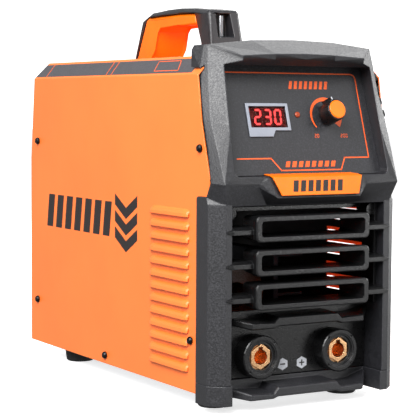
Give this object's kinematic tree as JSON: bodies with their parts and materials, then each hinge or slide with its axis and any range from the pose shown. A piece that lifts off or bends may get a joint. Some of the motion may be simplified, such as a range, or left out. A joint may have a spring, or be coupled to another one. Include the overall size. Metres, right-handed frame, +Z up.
{
  "type": "stick welding inverter",
  "caption": "Portable stick welding power source: folded steel cover with louvres, moulded front with sloping control panel, air grille and output sockets, and a carrying handle.",
  "frame": {"origin": "centre of the footprint at the floor, under the feet", "axes": "+Z up, front (control panel and sockets) towards -Y, +X to the right of someone facing the front"},
  "size_m": [0.1926, 0.3904, 0.345],
  "materials": {
    "orange_paint": "satin orange powder coat",
    "orange_plastic": "orange moulded plastic",
    "grey_plastic": "dark grey textured moulding",
    "black_plastic": "black moulding",
    "black_panel": "dark textured panel film",
    "rubber": "moulded rubber",
    "black_steel": "blackened screws",
    "zinc_steel": "zinc plated",
    "chrome": "bright plated",
    "copper": "copper alloy, turned",
    "aluminium": "extruded",
    "board_green": "glass-fibre board",
    "display_dark": "LED module face",
    "smoked_window": "smoked display window",
    "pale_grey": "pale grey frame",
    "lamp_lens": "dull orange lamp lens",
    "varnish": "varnished windings and core",
    "capacitor_sleeve": "sleeved can"
  },
  "bodies": {
    "case": {"badge_plate": "orange_plastic", "base_tray": "zinc_steel", "busbar_negative": "copper", "busbar_positive": "copper", "cable_gland": "black_plastic", "capacitor_left": "capacitor_sleeve", "capacitor_right": "capacitor_sleeve", "control_board": "board_green", "control_panel": "black_panel", "cover": "orange_paint", "cover_screw_left_1": "black_steel", "cover_screw_left_2": "black_steel", "cover_screw_left_3": "black_steel", "cover_screw_left_4": "black_steel", "cover_screw_left_5": "black_steel", "cover_screw_right_1": "black_steel", "cover_screw_right_2": "black_steel", "cover_screw_right_3": "black_steel", "cover_screw_right_4": "black_steel", "cover_screw_right_5": "black_steel", "display_frame": "pale_grey", "display_module": "display_dark", "display_window": "smoked_window", "earth_stud": "zinc_steel", "fan_frame": "black_plastic", "fan_guard": "chrome", "foot_front_left": "rubber", "foot_front_right": "rubber", "foot_rear_left": "rubber", "foot_rear_right": "rubber", "front_bezel": "grey_plastic", "front_grille": "black_plastic", "front_sill": "grey_plastic", "handle_grip": "orange_plastic", "handle_screw": "zinc_steel", "handle_shell": "grey_plastic", "heatsink_left": "aluminium", "heatsink_right": "aluminium", "knob_collar": "chrome", "output_choke": "varnish", "potentiometer": "zinc_steel", "power_board": "board_green", "power_switch_body": "black_plastic", "rear_panel": "black_plastic", "socket_insert_negative": "copper", "socket_insert_positive": "copper", "socket_plate": "black_plastic", "socket_shell_negative": "black_plastic", "socket_shell_positive": "black_plastic", "status_lamp": "lamp_lens", "transformer": "varnish"},
    "knob": {"current_knob": "black_plastic", "knob_cap": "orange_plastic", "pot_shaft": "zinc_steel"},
    "fan": {"fan_rotor": "black_plastic"},
    "rocker": {"power_switch_rocker": "black_plastic"}
  },
  "joints": [
    {"name": "current_knob_turn", "type": "hinge", "parent": "case", "child": "knob", "pos_m": [0.03, -0.15722, 0.2462], "axis": [0, -0.9524, 0.3048], "range_deg": [-157, 113]},
    {"name": "fan_spin", "type": "hinge", "parent": "case", "child": "fan", "pos_m": [0, 0.1547, 0.12], "axis": [0, 1, 0], "continuous": true},
    {"name": "power_switch_rock", "type": "hinge", "parent": "case", "child": "rocker", "pos_m": [0.048, 0.1747, 0.24], "axis": [1, 0, 0], "range_deg": [0, 16]}
  ]
}
